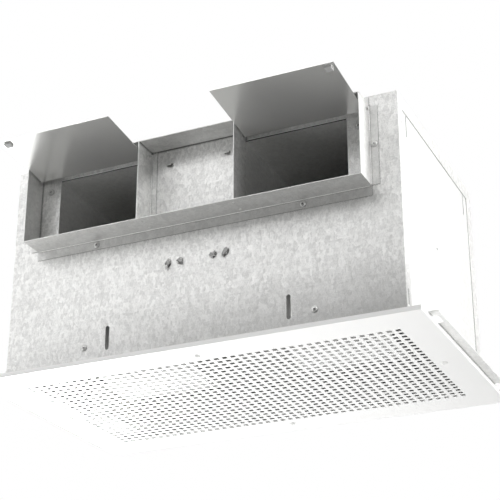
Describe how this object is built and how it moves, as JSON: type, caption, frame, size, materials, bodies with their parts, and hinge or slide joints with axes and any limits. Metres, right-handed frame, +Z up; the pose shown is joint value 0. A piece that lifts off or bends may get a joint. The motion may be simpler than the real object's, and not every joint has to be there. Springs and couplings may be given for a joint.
{
  "type": "ceiling exhaust fan",
  "caption": "Ceiling exhaust fan: galvanised sheet-metal box with a wide duct connector, hinged backdraft flaps, centrifugal blowers on a common motor, white perforated grille and side rails.",
  "frame": {"origin": "centre of the housing's mouth, in the plane of the finished ceiling, on the rails' underside", "axes": "+X to the right along the front, +Y from the duct connector's side to the back, +Z up out of the mouth"},
  "size_m": [0.702, 0.5078, 0.3475],
  "materials": {
    "galvanised_sheet": "spangled galvanised",
    "bright_steel": "smooth zinc plated",
    "zinc_screws": "zinc plated",
    "foam": "matt open foam",
    "bumper_foam": "pale closed-cell foam",
    "motor_paint": "satin",
    "bronze": "sintered",
    "rubber": "matt",
    "receptacle_plastic": "moulded",
    "white_enamel": "baked enamel"
  },
  "bodies": {
    "housing": {"front_panel": "galvanised_sheet", "rear_panel": "galvanised_sheet", "side_panel_left": "galvanised_sheet", "side_panel_right": "galvanised_sheet", "top_cover": "galvanised_sheet", "collar_top": "galvanised_sheet", "collar_bottom": "galvanised_sheet", "collar_wall_left": "galvanised_sheet", "collar_wall_right": "galvanised_sheet", "divider_left": "galvanised_sheet", "divider_right": "galvanised_sheet", "damper_pin_left": "bright_steel", "damper_pin_right": "bright_steel", "scroll_wrap_left": "galvanised_sheet", "scroll_wrap_right": "galvanised_sheet", "scroll_side_inner_left": "galvanised_sheet", "scroll_side_inner_right": "galvanised_sheet", "scroll_side_outer_left": "galvanised_sheet", "scroll_side_outer_right": "galvanised_sheet", "motor_shell": "motor_paint", "motor_end_bell_left": "motor_paint", "motor_end_bell_right": "motor_paint", "motor_bearing_left": "bronze", "motor_bearing_right": "bronze", "isolator_ring_left": "rubber", "isolator_ring_right": "rubber", "motor_bracket": "galvanised_sheet", "motor_cradle": "galvanised_sheet", "cradle_strap_left": "bright_steel", "cradle_strap_right": "bright_steel", "wiring_box": "galvanised_sheet", "wiring_box_cover": "galvanised_sheet", "motor_receptacle": "receptacle_plastic", "liner_left": "foam", "liner_right": "foam", "liner_rear": "foam", "liner_top": "foam", "mounting_rail_left": "galvanised_sheet", "mounting_rail_right": "galvanised_sheet", "grille": "white_enamel", "grille_screws": "white_enamel", "collar_screws": "zinc_screws", "scroll_screws": "zinc_screws", "front_screws": "zinc_screws", "rail_screws": "zinc_screws", "cradle_screws": "zinc_screws", "box_screws": "zinc_screws", "corner_rivets": "galvanised_sheet", "divider_rivets": "galvanised_sheet"},
    "left_flap": {"damper_flap_left": "bright_steel", "damper_pad_left": "bumper_foam"},
    "right_flap": {"damper_flap_right": "bright_steel", "damper_pad_right": "bumper_foam"},
    "rotor": {"blower_wheel_left": "galvanised_sheet", "blower_wheel_right": "galvanised_sheet", "wheel_set_screws": "bright_steel", "motor_shaft": "bright_steel"}
  },
  "joints": [
    {"name": "left_damper_hinge", "type": "hinge", "parent": "housing", "child": "left_flap", "pos_m": [-0.172, -0.184, 0.315], "axis": [1, 0, 0], "range_deg": [-12, 80]},
    {"name": "right_damper_hinge", "type": "hinge", "parent": "housing", "child": "right_flap", "pos_m": [0.172, -0.184, 0.315], "axis": [1, 0, 0], "range_deg": [-11, 81]},
    {"name": "blower_spin", "type": "hinge", "parent": "housing", "child": "rotor", "pos_m": [0, 0.015, 0.145], "axis": [1, 0, 0], "continuous": true}
  ]
}
